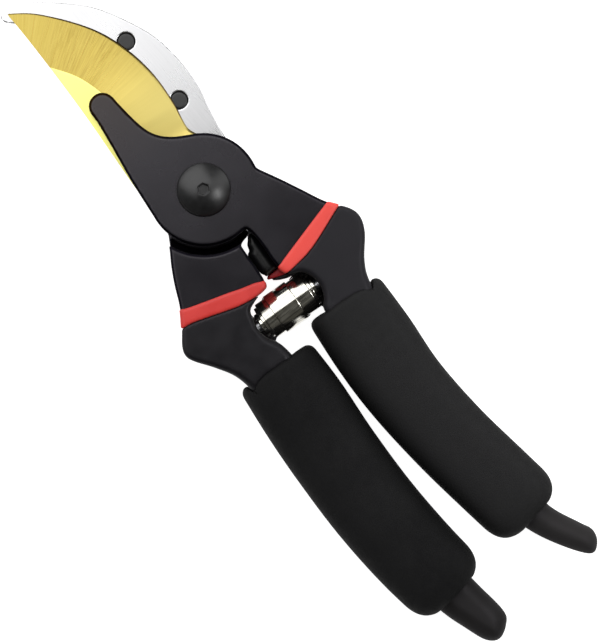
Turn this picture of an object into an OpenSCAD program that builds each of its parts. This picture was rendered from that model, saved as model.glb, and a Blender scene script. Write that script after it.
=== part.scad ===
// Bypass pruning shears: two cast handles that cross at one pivot bolt, a gold-coated
// cutting blade, a riveted steel counter blade, a volute spring and foam grips.
// The origin is on the pivot axis in the plane that the closed tool rests on.
// +Z points to the domed bolt head, +Y to the blade tips, +X to the blade-side handle.

/* [Pivot] */
// Radius of the pivot bolt's shank
bolt_r = 4.0; // [3.5:0.1:4.3]
// Radial clearance of the bolt in the parts that turn on it
running_gap = 0.05; // [0.02:0.01:0.1]
// Radius of the domed bolt head
head_r = 7.3; // [7:0.1:8.5]
// Height of the domed bolt head
head_h = 3.5; // [3:0.1:4.5]
// Width across the flats of the key recess in the bolt head
key_w = 2.8; // [2.4:0.2:5]
// Depth of the key recess
key_depth = 1.4; // [1:0.1:2.5]
// Width across the flats of the pivot nut
nut_w = 13.0; // [12:0.5:13.5]
// Height of the pivot nut
nut_h = 3.2; // [2.8:0.1:3.4]
// Radius of the washer under the nut
washer_r = 8.5; // [8:0.1:9.5]
// Thickness of the washer under the nut
washer_t = 0.8; // [0.6:0.1:1]
// Radius of the round boss of each handle casting at the pivot
boss_r = 15.2; // [15:0.1:15.4]

/* [Blades] */
// Thickness of each casting's lap at the pivot
lap_t = 4.8; // [4.4:0.1:5]
// Thickness of the counter blade
counter_t = 3.0; // [2.8:0.1:3.2]
// Thickness of the cutting blade
blade_t = 3.2; // [3:0.1:3.4]
// Gap between the two blades where they slide past each other
blade_gap = 0.05; // [0.03:0.01:0.1]
// Radius of the round root of both blades
root_r = 13.5; // [12:0.1:14.5]
// Radius of the rivets that hold the counter blade
rivet_r = 2.4; // [2:0.1:2.6]

/* [Handles] */
// Thickness of the vinyl coating on the handles
coat_t = 1.0; // [0.8:0.1:1.2]
// How far the red bands stand proud of the vinyl coating
band_proud = 0.3; // [0.2:0.1:0.5]
// Thickness of the webs of coating that close the spring's pocket at the back
web_t = 2.4; // [2:0.1:2.6]
// Depth of the foam grips, front to back
grip_depth = 23.0; // [22:0.5:23.5]
// Depth of the coated handle inside the foam grips
stem_depth = 14.0; // [12:0.5:15]
// Depth of the coated handle ends that stick out of the grips
tail_depth = 9.6; // [8:0.2:11]

/* [Spring] */
// Largest radius of the volute spring
spring_r = 5.85; // [5.8:0.05:5.9]
// Smallest radius of the volute spring, at its two ends
spring_end_r = 2.7; // [2.6:0.1:3]
// Width of the spring strip
strip_w = 7.2; // [7:0.1:7.25]
// Thickness of the spring strip
strip_t = 0.4; // [0.35:0.05:0.4]
// Radius of the pegs that the spring's ends sit on
peg_r = 1.6; // [1.4:0.1:1.8]

/* [Latch] */
// Swing of the latch lever between free and locked, in degrees
latch_swing = 14; // [13:0.5:15]
// Thickness of the latch lever
latch_t = 2.0; // [1.6:0.1:2.2]
// Radius of the catch pin that the latch hooks
catch_r = 1.6; // [1.4:0.1:1.7]

/* [Hidden] */
$fn = 64;

// Levels of the stack on the pivot bolt, from the rest plane up
back_z = nut_h + washer_t;
counter_z = back_z + lap_t;
blade_z = counter_z + counter_t + blade_gap;
front_lap_z = blade_z + blade_t;
front_z = front_lap_z + lap_t;
mid_z = (back_z + front_z) / 2;
snug_gap = 0.02;
bore_r = bolt_r + running_gap;
eps = 1;

// Radius of the round step in the hook-side casting, which clears the front boss
hook_step_r = 17.5;
// Radius of the round step in the blade-side casting, which clears the back boss
blade_step_r = 16.4;

// Depth range of the coated handle in the open, inside the grips and at the tails
flare_z = [back_z - coat_t, front_z + coat_t];
stem_z = [mid_z - stem_depth / 2, mid_z + stem_depth / 2];
tail_z = [mid_z - tail_depth / 2, mid_z + tail_depth / 2];
// Where the coated handle steps down inside the grip, and where it steps down to the tail
stem_y = -53;
tail_y = -116;

// A smooth curve through points, with a few short steps between each two
function blend_point(a, b, c, d, t) =
    (2 * b + (c - a) * t + (2 * a - 5 * b + 4 * c - d) * t * t
    + (3 * b - a - 3 * c + d) * t * t * t) / 2;
function smooth(p, steps = 4) = concat(
    [for (i = [0 : len(p) - 2], j = [0 : steps - 1])
        blend_point(p[max(i - 1, 0)], p[i], p[i + 1], p[min(i + 2, len(p) - 1)], j / steps)],
    [p[len(p) - 1]]);
// Points along an arc, angles in degrees
function arc(centre, r, from, to, steps = 8) =
    [for (i = [0 : steps]) centre + r * [cos(from + (to - from) * i / steps),
                                          sin(from + (to - from) * i / steps)]];

// Cutting blade: convex cutting edge from the tip down to its flared root, then the back
blade_edge = smooth([[-9.7, 70.6], [-4.2, 66], [2, 57.9], [6.4, 50], [9, 41], [9.8, 32],
                     [9, 23.5], [8.1, 19.4], [7.5, 16.4], [7.8, 14.3], [8.9, 12]]);
blade_back = smooth([[-13.5, 2], [-13.9, 9], [-13, 20], [-11.5, 35], [-10.5, 50], [-10, 62],
                     [-9.9, 69.6]]);
blade_outline = concat(blade_edge, [[6, 8]], blade_back);

// Counter blade: round tip, convex outer edge down, root, concave shearing edge up
counter_outline = concat(
    arc([-9.9, 70.3], 2, 215, 75),
    smooth([[-8, 71.4], [-3, 68.9], [3, 63.7], [9, 57], [13.3, 49], [16.5, 40.3], [17.5, 31],
            [17, 22.8], [15.2, 16], [13, 6]]),
    smooth([[-11, 8], [-6, 15], [-0.5, 24], [1.8, 33], [2, 43], [0.3, 52], [-4.5, 61.5]]));
rivet_places = [[9.8, 44.3], [10.5, 23]];

// Arm of the hook-side casting behind the counter blade
arm_outline = concat(
    smooth([[13.4, 6], [14.8, 15], [15.8, 23], [16, 31], [15, 39.5], [13.1, 45.6]]),
    arc([9.9, 45.4], 3.3, 10, 170),
    smooth([[6.4, 45], [4.6, 38], [2.8, 30], [-1, 20], [-9, 11.5]]));

// Finger of the blade-side casting, which carries the cutting blade
finger_outline = concat(
    arc([-6.3, 34.6], 3.7, 185, 5),
    smooth([[-2.6, 33], [-2.2, 27], [-1.5, 22.5], [0.1, 19], [3.2, 15.9], [8.6, 12.6]]),
    smooth([[-15.1, 1], [-14.5, 6], [-13.2, 15], [-11.5, 24], [-10.1, 32]]));
dowel_place = [-6.9, 31];
dowel_r = 2.0;

// Outlines of the two handles, from the pivot boss to the tail
hook_handle = concat(
    [[-9, -11], [-14.9, -2.4]],
    smooth([[-15.7, -3.6], [-17.4, -6.4], [-20, -10.2], [-22.5, -14.5], [-25.3, -20], [-28.6, -24.7],
            [-31.6, -28.4], [-32.5, -31], [-31.6, -33.6], [-28.4, -38.6], [-25.6, -44.4],
            [-25, -52], [-26.2, -70], [-27.2, -92], [-26.6, -112], [-24.5, -127.5],
            [-22.4, -135.4], [-20.3, -141.4]]),
    smooth([[-17.2, -143.6], [-13.4, -141.8], [-11.5, -138.4], [-12.3, -127.5], [-13.2, -112],
            [-13.2, -92], [-11.8, -70], [-10.6, -52], [-10.9, -45.5], [-11.8, -43],
            [-12.9, -40.6], [-13, -37.4], [-12.2, -34.4], [-10.8, -32.2], [-4, -30.5]]),
    smooth([[-3.2, -28.6], [-2.9, -26.5], [-2.6, -23.5], [-2.3, -20], [-2.05, -17.4]]),
    [[-0.8, -17], [1.3, -16.7], [1.75, -16.3], [1.9, -14]]);
blade_handle = concat(
    [[6, -9], [13.6, -2]],
    smooth([[14.9, -5.5], [17.5, -11], [20.1, -17], [23, -23.6], [26.6, -28.8], [27.4, -32.4],
            [25.6, -36.6], [20.6, -42.4], [18, -48], [16.2, -60], [14.4, -78], [14.8, -98],
            [16.2, -114], [16.1, -124.5], [19.4, -133.4], [20.9, -137]]),
    smooth([[20.1, -140.2], [17.2, -142.3], [14.4, -139.7], [10.3, -132.5], [7.5, -125.5],
            [4.6, -114], [1.6, -98], [0.4, -78], [2.6, -58], [3.6, -47.5], [4.1, -44.9],
            [5.6, -43.3], [6.9, -41], [7.4, -38.4], [6.9, -35.4], [5.6, -33.4], [3.8, -32.5]]),
    smooth([[2.4, -31.6], [1.8, -28], [2.4, -21], [2.4, -17.5], [1.8, -15]]));
// Side tab of the blade-side handle below the stop bumper, half way down its depth
ridge_outline = concat(
    [[6, -28.5]],
    smooth([[-2.2, -28.5], [-2.3, -29.4], [-1.4, -30.5], [0, -31.5], [2.2, -32.6]]),
    [[6, -33]]);
ridge_z = [mid_z - 4.4, mid_z + 0.6];
// Thin webs of the coating that close the back of the spring's pocket in each handle
hook_web = [[-14, -34.6], [-12.1, -34.5], [-10.4, -35.6], [-9.8, -38], [-10, -42.6],
            [-10.9, -43], [-14, -43.6]];
blade_web = [[9, -32], [1.7, -32.9], [1.3, -34.2], [1.3, -43.9], [4.2, -44.1], [9, -44.6]];

// Upper and lower borders of the red bands, which run on past the handle's sides
hook_band_top = smooth([[-32, -15.6], [-25.3, -20.6], [-20, -22.8], [-13, -25.3], [-9.4, -26.7],
                        [-5.8, -27.9], [-3.7, -28.9], [2, -31]]);
hook_band_low = smooth([[-34, -21.4], [-28.6, -24.6], [-25, -25.4], [-15, -29.2], [-12.2, -30.1],
                        [-8.7, -30.8], [-5.5, -31.1], [2, -31.8]]);
blade_band_top = smooth([[-6, -28.9], [1.8, -28.6], [5, -27.9], [15, -25.6], [23.2, -23.8],
                         [32, -22]]);
blade_band_low = smooth([[-6, -28.9], [-2, -29.7], [2.3, -31.3], [5, -31.4], [10, -31],
                         [15, -29.8], [24.8, -26.6], [34, -24]]);

// Centre lines of the foam grips with their half width: [x, y, half width]
hook_grip_line = [[-16.2, -48.4, 11.6], [-17.5, -62, 12.3], [-19.2, -78, 12.2],
                  [-20.2, -95, 12.1], [-19.9, -112, 11.9], [-18.5, -127.2, 11.5]];
blade_grip_line = [[9.6, -46.4, 11.4], [8.2, -61, 11.9], [7.0, -76, 11.5],
                   [7.5, -93, 11.3], [9.2, -110, 11.3], [10.9, -124.8, 11.2]];
grip_edge_r = [3, 4.5];

spring_middle = [-3.5, -38.15, mid_z];
// Lean of the spring's axis away from the x axis, in degrees
spring_lean = -4.8;
// Path of the spring strip by turns from its middle: its shift along the axis, and the share of
// the way from the largest radius (0) to the smallest (1). The strip crosses over at the back.
strip_shift = [[-3.5, -4.9], [-2.7, -4.9], [-2.3, -3.9], [-1.7, -3.9], [-1.3, -3.06],
               [-0.42, -3.06], [-0.28, 0], [0.28, 0], [0.42, 4.26], [1.3, 4.26], [1.7, 5.2],
               [2.3, 5.2], [2.7, 6.2], [3.5, 6.2]];
strip_fall = [[0, 0], [0.42, 0.01], [0.58, 0.17], [1.3, 0.3], [3.5, 1]];
spring_turns = 3.5;

latch_pivot = [14.5, -15.5];
latch_z = back_z - 0.4 - latch_t;
latch_screw_r = 2.0;
catch_angle = -66;
catch_place = 13 * [cos(catch_angle), sin(catch_angle)];
// Middle of the latch's tooth when it locks, just past the catch pin
tooth_angle = catch_angle - 14;
// Radii of the latch's curved arm and of its thumb tab, about the pivot bolt
latch_arm_r = [15.3, 19];
latch_tab_r = 22.4;
latch_eye_r = 4.1;

// Pad of the stop bumper, which fills the room between the two necks, and its foot
bumper_pad = concat(
    smooth([[1.68, -28.4], [1.95, -24.5], [2.25, -21], [2.3, -18.8], [2.1, -17]]),
    smooth([[0.9, -17.2], [0.3, -18], [-0.6, -18.9], [-1.2, -20.4], [-2.15, -20.9], [-2.32, -22],
            [-2.52, -24.2], [-2.7, -26], [-2.65, -27], [-2.2, -27.8], [-2.1, -28.4]]));
bumper_z = [mid_z - 4.4, mid_z + 4.4];
foot_w = 4.4;
// A length that reaches past every side of the tool
far = 160;

// ---- helpers ----
module plate(points, from, to) {
    translate([0, 0, from]) linear_extrude(to - from) polygon(points);
}
module drum(r, from, to) {
    translate([0, 0, from]) cylinder(r = r, h = to - from);
}
// The half plane below or above a border line, as a tall block
module below(border) {
    plate(concat(border, [[far, -far], [-far, -far]]), -eps, grip_depth + eps);
}
module above(border) {
    plate(concat(border, [[far, far], [-far, far]]), -eps, grip_depth + eps);
}
// A coated handle's outside, or with inset = coat_t its metal core
module handle_body(points, inset) {
    depths = [[stem_y, 0, flare_z], [tail_y, stem_y, stem_z], [-far, tail_y, tail_z]];
    for (d = depths) intersection() {
        translate([0, 0, d[2][0] + inset])
            linear_extrude(d[2][1] - d[2][0] - 2 * inset) offset(delta = -inset) polygon(points);
        translate([-far / 2, d[0], 0]) cube([far, d[1] - d[0], grip_depth]);
    }
}

// ---- castings ----
// Metal of each handle under its coating, with the bare neck above the red band
module hook_metal() {
    intersection() {
        plate(hook_handle, back_z, front_z);
        above(hook_band_low);
    }
    handle_body(hook_handle, coat_t);
}
module blade_metal() {
    intersection() {
        union() {
            plate(blade_handle, back_z, front_z);
            plate(ridge_outline, ridge_z[0], ridge_z[1]);
        }
        above(blade_band_low);
    }
    handle_body(blade_handle, coat_t);
}
// A rod on the spring's axis, between two distances from the spring's middle
module peg(r, from, to) {
    translate(spring_middle) rotate([0, 90, spring_lean]) translate([0, 0, from])
        cylinder(r = r, h = to - from);
}
hook_peg_reach = [-13.9, -5.1];
blade_peg_reach = [4.9, 16.9];
module hook_peg_hole() peg(peg_r + snug_gap, hook_peg_reach[0] - 0.1, -2);
module blade_peg_hole() peg(peg_r + snug_gap, 8.5, blade_peg_reach[1] + 0.1);
module hook_handle_casting() color([0.22, 0.22, 0.23]) {
    difference() {
        union() {
            difference() {
                hook_metal();
                drum(hook_step_r, counter_z, front_z + eps);
            }
            plate(arm_outline, back_z, counter_z);
            drum(boss_r, back_z, counter_z);
        }
        drum(bore_r, 0, front_z);
        for (p = rivet_places) translate(p) drum(rivet_r + snug_gap, 0, front_z);
        translate(catch_place) drum(catch_r + snug_gap, 0, counter_z - 1);
        hook_peg_hole();
    }
}
module blade_handle_casting() color([0.24, 0.24, 0.25]) {
    difference() {
        union() {
            difference() {
                blade_metal();
                drum(blade_step_r, back_z - eps, front_lap_z);
            }
            plate(finger_outline, front_lap_z, front_z);
            drum(boss_r, front_lap_z, front_z);
        }
        drum(bolt_r + snug_gap, 0, front_z + eps);
        translate(dowel_place) drum(dowel_r + snug_gap, front_lap_z - eps, front_lap_z + 2.5);
        translate(latch_pivot) drum(latch_screw_r + snug_gap, 0, back_z + 9);
        bumper_foot(snug_gap);
        blade_peg_hole();
    }
}

// ---- blades and their fasteners ----
module cutting_blade() color([0.86, 0.76, 0.38]) {
    difference() {
        union() {
            plate(blade_outline, blade_z, front_lap_z);
            drum(root_r, blade_z, front_lap_z);
        }
        drum(bolt_r + snug_gap, 0, front_z);
        translate(dowel_place) drum(dowel_r + snug_gap, 0, front_z);
    }
}
module counter_blade() color([0.85, 0.85, 0.87]) {
    difference() {
        union() {
            plate(counter_outline, counter_z, counter_z + counter_t);
            drum(root_r, counter_z, counter_z + counter_t);
        }
        drum(bore_r, 0, front_z);
        for (p = rivet_places) translate(p) drum(rivet_r + snug_gap, 0, front_z);
    }
}
module counter_blade_rivets() color([0.3, 0.3, 0.31]) {
    for (p = rivet_places) translate(p) {
        drum(rivet_r, back_z, counter_z + counter_t);
        translate([0, 0, back_z]) mirror([0, 0, 1]) cap(3.4, 0.4, 1.2);
    }
}
module blade_dowel() color([0.6, 0.6, 0.62]) {
    translate(dowel_place) drum(dowel_r, blade_z + 0.2, front_lap_z + 2.4);
}
// A low dome with a short straight rim, standing on z = 0
module cap(r, rim, height) {
    ball_r = (r * r + pow(height - rim, 2)) / (2 * (height - rim));
    rotate_extrude() polygon(concat([[0, 0], [r, 0]],
        [for (i = [0 : 10]) let (x = r * (1 - i / 10))
            [x, height - ball_r + sqrt(ball_r * ball_r - x * x)]]));
}

// ---- pivot ----
module pivot_bolt() color([0.13, 0.13, 0.14]) {
    difference() {
        union() {
            drum(bolt_r, 0, front_z + 0.5);
            translate([0, 0, front_z]) cap(head_r, 0.7, head_h);
        }
        translate([0, 0, front_z + head_h - key_depth]) cylinder(r = key_w / sqrt(3), h = 5, $fn = 6);
    }
}
module pivot_washer() color([0.7, 0.7, 0.72]) {
    difference() {
        drum(washer_r, nut_h, back_z - blade_gap);
        drum(bolt_r + snug_gap, 0, front_z);
    }
}
module pivot_nut() color([0.16, 0.16, 0.17]) {
    difference() {
        cylinder(r = nut_w / sqrt(3), h = nut_h, $fn = 6);
        drum(bolt_r + snug_gap, -eps, nut_h + eps);
    }
}

// ---- latch on the back ----
// Lever in the locked position: a curved arm round the catch pin's path, with a tooth
module latch_outline() {
    difference() {
        union() {
            polygon(concat(arc([0, 0], latch_arm_r[1], -52, -86),
                           arc([0, 0], latch_arm_r[0], -86, -52)));
            polygon(concat(arc([0, 0], latch_arm_r[1], -60, -77),
                           arc([0, 0], latch_tab_r, -76, -62)));
            translate(latch_pivot) circle(r = latch_eye_r);
            rotate(tooth_angle) translate([12.6, -1.3]) square([4, 2.6]);
        }
        translate(latch_pivot) circle(r = latch_screw_r + running_gap);
    }
}
module latch_lever() color([0.66, 0.66, 0.68]) {
    translate(latch_pivot) rotate(latch_swing) translate(-latch_pivot) {
        translate([0, 0, latch_z]) linear_extrude(latch_t) latch_outline();
        for (a = [-64 : -2.6 : -74.4])
            rotate(a) translate([20.6, 0, latch_z - 0.4]) cube([3, 0.5, 1], center = true);
    }
}
module latch_screw() color([0.62, 0.62, 0.64]) {
    translate(latch_pivot) {
        drum(latch_screw_r, latch_z - 0.5, back_z + 8.8);
        difference() {
            translate([0, 0, latch_z - 0.05]) mirror([0, 0, 1]) cap(3.6, 0.3, 1.3);
            translate([0, 0, latch_z - 1.4]) cube([8, 0.9, 1.2], center = true);
        }
    }
}
module latch_wave_washer() color([0.7, 0.7, 0.72]) {
    translate(latch_pivot) difference() {
        drum(3.6, latch_z + latch_t + 0.03, back_z - 0.03);
        drum(latch_screw_r + snug_gap, 0, front_z);
    }
}
module latch_catch_pin() color([0.6, 0.6, 0.62]) {
    translate(catch_place) drum(catch_r, latch_z - 0.2, counter_z - 1.1);
}

// ---- spring ----
// Radius and place along the axis of the strip's middle, at turn n from the centre
function strip_r(n) = spring_r - strip_t / 2
    - (spring_r - strip_t / 2 - spring_end_r) * lookup(abs(n), strip_fall);
function strip_ring(n) = let (a = 360 * n + 90, r = strip_r(n), x = lookup(n, strip_shift))
    [for (c = [[-1, -1], [1, -1], [1, 1], [-1, 1]])
        let (q = r + c[1] * strip_t / 2) [x + c[0] * strip_w / 2, q * cos(a), q * sin(a)]];
module volute_spring() color([0.8, 0.8, 0.8]) {
    per_turn = 28;
    count = 2 * spring_turns * per_turn;
    points = [for (i = [0 : count], p = strip_ring(i / per_turn - spring_turns)) p];
    sides = [for (i = [0 : count - 1], k = [0 : 3])
        [4 * i + k, 4 * i + (k + 1) % 4, 4 * (i + 1) + (k + 1) % 4, 4 * (i + 1) + k]];
    ends = [[3, 2, 1, 0], [for (k = [0 : 3]) 4 * count + k]];
    translate(spring_middle) rotate([0, 0, spring_lean])
        polyhedron(points, concat(sides, ends), convexity = 8);
}
module hook_side_spring_peg() color([0.75, 0.75, 0.77])
    peg(peg_r, hook_peg_reach[0], hook_peg_reach[1]);
module blade_side_spring_peg() color([0.75, 0.75, 0.77])
    peg(peg_r, blade_peg_reach[0], blade_peg_reach[1]);

// ---- stop between the necks ----
module bumper_foot(extra) {
    size = foot_w + 2 * extra;
    translate([1.2, -23.5 - size / 2, mid_z - size / 2]) cube([4.8 + extra, size, size]);
}
module stop_bumper() color([0.08, 0.08, 0.08]) {
    plate(bumper_pad, bumper_z[0], bumper_z[1]);
    bumper_foot(0);
}

// ---- coatings, bands and grips ----
module hook_side_vinyl_sleeve() color([0.1, 0.1, 0.11]) {
    difference() {
        intersection() {
            union() {
                handle_body(hook_handle, 0);
                plate(hook_web, flare_z[0], flare_z[0] + web_t);
            }
            below(hook_band_low);
        }
        hook_metal();
        hook_peg_hole();
    }
}
module blade_side_vinyl_sleeve() color([0.1, 0.1, 0.11]) {
    difference() {
        intersection() {
            union() {
                handle_body(blade_handle, 0);
                plate(blade_web, flare_z[0], flare_z[0] + web_t);
                plate(ridge_outline, ridge_z[0] - coat_t, ridge_z[1] + coat_t);
            }
            below(blade_band_low);
        }
        blade_metal();
        blade_peg_hole();
    }
}
module hook_side_red_band() color([0.85, 0.25, 0.22]) {
    difference() {
        intersection() {
            translate([0, 0, flare_z[0] - band_proud])
                linear_extrude(flare_z[1] - flare_z[0] + 2 * band_proud)
                offset(delta = band_proud) polygon(hook_handle);
            above(hook_band_low);
            below(hook_band_top);
        }
        hook_metal();
    }
}
module blade_side_red_band() color([0.85, 0.25, 0.22]) {
    difference() {
        intersection() {
            union() {
                translate([0, 0, flare_z[0] - band_proud])
                    linear_extrude(flare_z[1] - flare_z[0] + 2 * band_proud)
                    offset(delta = band_proud) polygon(blade_handle);
                translate([0, 0, ridge_z[0] - 1])
                    linear_extrude(ridge_z[1] - ridge_z[0] + 2)
                    offset(delta = band_proud) polygon(ridge_outline);
            }
            above(blade_band_low);
            below(blade_band_top);
        }
        blade_metal();
    }
}

// Foam grip: rounded cross-sections swept along the centre line, ends rounded off
function grip_section(half_w, half_d) = [for (i = [0 : 23])
    let (a = 360 * (i + 0.5) / 24, c = cos(a), s = sin(a))
    [half_w * sign(c) * pow(abs(c), 0.8), half_d * sign(s) * pow(abs(s), 0.62)]];
function end_inset(from_end, r) = from_end >= r ? 0 : r - sqrt(r * r - pow(r - from_end, 2));
module foam_grip(line) {
    path = smooth(line, 3);
    last = len(path) - 1;
    // extra stations close to each end, where the edge is rounded off
    top = [for (s = [0, 0.3, 1, 2]) concat(path[0] + (path[1] - path[0]) * s / 5, [s])];
    mid = [for (i = [1 : last - 1]) concat(path[i], [grip_edge_r[0]])];
    low = [for (s = [3.2, 1.6, 0.5, 0]) concat(path[last] + (path[last - 1] - path[last]) * s / 5,
                                              [s])];
    stations = concat(top, mid, low);
    count = len(stations);
    rings = [for (i = [0 : count - 1])
        let (p = stations[i], r = i < count - 4 ? grip_edge_r[0] : grip_edge_r[1],
             d = stations[min(i + 1, count - 1)] - stations[max(i - 1, 0)],
             u = [d.x, d.y] / norm([d.x, d.y]), side = [-u.y, u.x],
             inset = i >= 4 && i < count - 4 ? 0 : end_inset(p[3], r))
        [for (q = grip_section(p[2] - inset, grip_depth / 2 - inset))
            [p.x + side.x * q.x, p.y + side.y * q.x, grip_depth / 2 + q.y]]];
    points = [for (ring = rings, q = ring) q];
    faces = concat(
        [for (i = [0 : count - 2], k = [0 : 23])
            [24 * i + k, 24 * (i + 1) + k, 24 * (i + 1) + (k + 1) % 24, 24 * i + (k + 1) % 24]],
        [[for (k = [0 : 23]) k], [for (k = [23 : -1 : 0]) 24 * (count - 1) + k]]);
    polyhedron(points, faces, convexity = 4);
}
module grip_pocket(points) {
    translate([0, 0, stem_z[0] - snug_gap]) linear_extrude(stem_depth + 2 * snug_gap)
        offset(delta = snug_gap) polygon(points);
    intersection() {
        translate([0, 0, flare_z[0] - snug_gap])
            linear_extrude(flare_z[1] - flare_z[0] + 2 * snug_gap)
            offset(delta = snug_gap) polygon(points);
        translate([-60, stem_y, 0]) cube([120, 60, front_z + 5]);
    }
}
module hook_side_foam_grip() color([0.07, 0.07, 0.07]) {
    difference() {
        foam_grip(hook_grip_line);
        grip_pocket(hook_handle);
    }
}
module blade_side_foam_grip() color([0.07, 0.07, 0.07]) {
    difference() {
        foam_grip(blade_grip_line);
        grip_pocket(blade_handle);
    }
}

cutting_blade();
counter_blade();
counter_blade_rivets();
blade_dowel();
blade_handle_casting();
hook_handle_casting();
pivot_bolt();
pivot_washer();
pivot_nut();
latch_lever();
latch_screw();
latch_wave_washer();
latch_catch_pin();
volute_spring();
blade_side_spring_peg();
hook_side_spring_peg();
stop_bumper();
blade_side_red_band();
hook_side_red_band();
blade_side_vinyl_sleeve();
hook_side_vinyl_sleeve();
blade_side_foam_grip();
hook_side_foam_grip();
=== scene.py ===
"""Looks of the bypass pruning shears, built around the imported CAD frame.

Lengths inside the script are millimetres and are turned into metres when a mesh is made.
Most solids are signed distance fields: CAD sections give their outlines, rounded slabs and
smooth unions give their edges, and a surface net turns the field into a mesh.
"""
import math

import bpy
import numpy as np
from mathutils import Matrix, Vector


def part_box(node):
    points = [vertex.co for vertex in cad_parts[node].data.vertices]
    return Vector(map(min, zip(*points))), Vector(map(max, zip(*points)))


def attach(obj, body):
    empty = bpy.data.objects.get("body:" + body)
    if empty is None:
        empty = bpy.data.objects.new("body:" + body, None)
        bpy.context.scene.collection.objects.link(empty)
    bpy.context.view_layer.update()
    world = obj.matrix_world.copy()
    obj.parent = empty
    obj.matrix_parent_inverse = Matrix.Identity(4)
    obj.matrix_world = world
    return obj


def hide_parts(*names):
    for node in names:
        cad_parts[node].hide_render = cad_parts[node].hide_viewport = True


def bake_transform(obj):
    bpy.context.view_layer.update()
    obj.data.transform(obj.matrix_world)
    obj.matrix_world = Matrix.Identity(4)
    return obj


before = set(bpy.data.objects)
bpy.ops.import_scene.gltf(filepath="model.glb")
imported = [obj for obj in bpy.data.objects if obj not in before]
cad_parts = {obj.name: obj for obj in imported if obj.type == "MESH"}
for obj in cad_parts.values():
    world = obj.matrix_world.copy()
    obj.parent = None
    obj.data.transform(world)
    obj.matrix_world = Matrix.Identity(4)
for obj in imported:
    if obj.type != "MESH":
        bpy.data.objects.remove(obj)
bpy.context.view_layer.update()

MM = 0.001
HOOK, BLADE, LATCH = "hook_side", "blade_side", "latch"


# ---------------------------------------------------------------- places from the frame
def box(node):
    """Lowest and highest corner of a CAD node, in millimetres."""
    low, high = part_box(node)
    return np.array(low) / MM, np.array(high) / MM


def middle(node):
    """Middle of a CAD node's box, in millimetres."""
    low, high = box(node)
    return (low + high) / 2


back_z, front_z = box("hook_handle_casting")[0][2], box("blade_handle_casting")[1][2]
counter_z, counter_top = box("counter_blade")[0][2], box("counter_blade")[1][2]
blade_z, blade_top = box("cutting_blade")[0][2], box("cutting_blade")[1][2]
mid_z = (back_z + front_z) / 2
foam_top = box("hook_side_foam_grip")[1][2]
flare_half = box("hook_side_vinyl_sleeve")[1][2] - mid_z
HOOK_STEP_R, BLADE_STEP_R = 17.5, 16.4
# Middle and lean of the spring's axis
SPRING_X, SPRING_Y, SPRING_LEAN = -3.5, -38.15, math.radians(-4.8)
# Width of the long ground face of the cutting blade
GRIND_WIDTH = 13.6


def section(node, z):
    """Segments (x0, y0, x1, y1) where a CAD node's surface crosses the height z."""
    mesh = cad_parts[node].data
    mesh.calc_loop_triangles()
    points = np.array([v.co for v in mesh.vertices]) / MM
    corners = points[np.array([t.vertices for t in mesh.loop_triangles])]
    above = corners[:, :, 2] > z
    corners, above = [a[above.any(1) & ~above.all(1)] for a in (corners, above)]
    ends = []
    for triangle, over in zip(corners, above):
        for a, b in ((0, 1), (1, 2), (2, 0)):
            if over[a] != over[b]:
                share = (z - triangle[a][2]) / (triangle[b][2] - triangle[a][2])
                ends.append(triangle[a][:2] + share * (triangle[b][:2] - triangle[a][:2]))
    return np.array(ends).reshape(-1, 4)


def spline(points, steps=10):
    """A smooth curve through points, like the one in the CAD source."""
    p = np.array(points, float)
    curve = []
    for i in range(len(p) - 1):
        a, b, c, d = p[max(i - 1, 0)], p[i], p[i + 1], p[min(i + 2, len(p) - 1)]
        for t in np.arange(steps) / steps:
            curve.append((2 * b + (c - a) * t + (2 * a - 5 * b + 4 * c - d) * t * t
                          + (3 * b - a - 3 * c + d) * t ** 3) / 2)
    return np.array(curve + [p[-1]])


def closed(*runs):
    """Segments (x0, y0, x1, y1) of a closed outline made of runs of points."""
    points = np.concatenate([np.array(run, float) for run in runs])
    return np.hstack([points, np.roll(points, -1, axis=0)])


# Outlines of the coated handles, as in the CAD source
HANDLES = {
    "hook": closed(
        [(-9, -11), (-14.9, -2.4)],
        spline([(-15.7, -3.6), (-17.4, -6.4), (-20, -10.2), (-22.5, -14.5), (-25.3, -20),
                (-28.6, -24.7), (-31.6, -28.4), (-32.5, -31), (-31.6, -33.6), (-28.4, -38.6),
                (-25.6, -44.4), (-25, -52), (-26.2, -70), (-27.2, -92), (-26.6, -112),
                (-24.5, -127.5), (-22.4, -135.4), (-20.3, -141.4), (-17.2, -143.6),
                (-13.4, -141.8), (-11.5, -138.4), (-12.3, -127.5), (-13.2, -112), (-13.2, -92),
                (-11.8, -70), (-10.6, -52), (-10.9, -45.5),
                (-11.8, -43), (-12.9, -40.6), (-13, -37.4), (-12.2, -34.4), (-10.8, -32.2),
                (-4, -30.5)]),
        spline([(-3.2, -28.6), (-2.9, -26.5), (-2.6, -23.5), (-2.3, -20), (-2.05, -17.4)]),
        [(-0.8, -17), (1.3, -16.7), (1.75, -16.3), (1.9, -14)]),
    "blade": closed(
        [(6, -9), (13.6, -2)],
        spline([(14.9, -5.5), (17.5, -11), (20.1, -17), (23, -23.6), (26.6, -28.8),
                (27.4, -32.4), (25.6, -36.6), (20.6, -42.4), (18, -48), (16.2, -60), (14.4, -78),
                (14.8, -98), (16.2, -114), (16.1, -124.5), (19.4, -133.4), (20.9, -137),
                (20.1, -140.2), (17.2, -142.3), (14.4, -139.7), (10.3, -132.5), (7.5, -125.5),
                (4.6, -114), (1.6, -98), (0.4, -78), (2.6, -58), (3.6, -47.5), (4.1, -44.9),
                (5.6, -43.3), (6.9, -41), (7.4, -38.4), (6.9, -35.4), (5.6, -33.4), (3.8, -32.5)]),
        spline([(2.4, -31.6), (1.8, -28), (2.4, -21), (2.4, -17.5), (1.8, -15)])),
}
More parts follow.
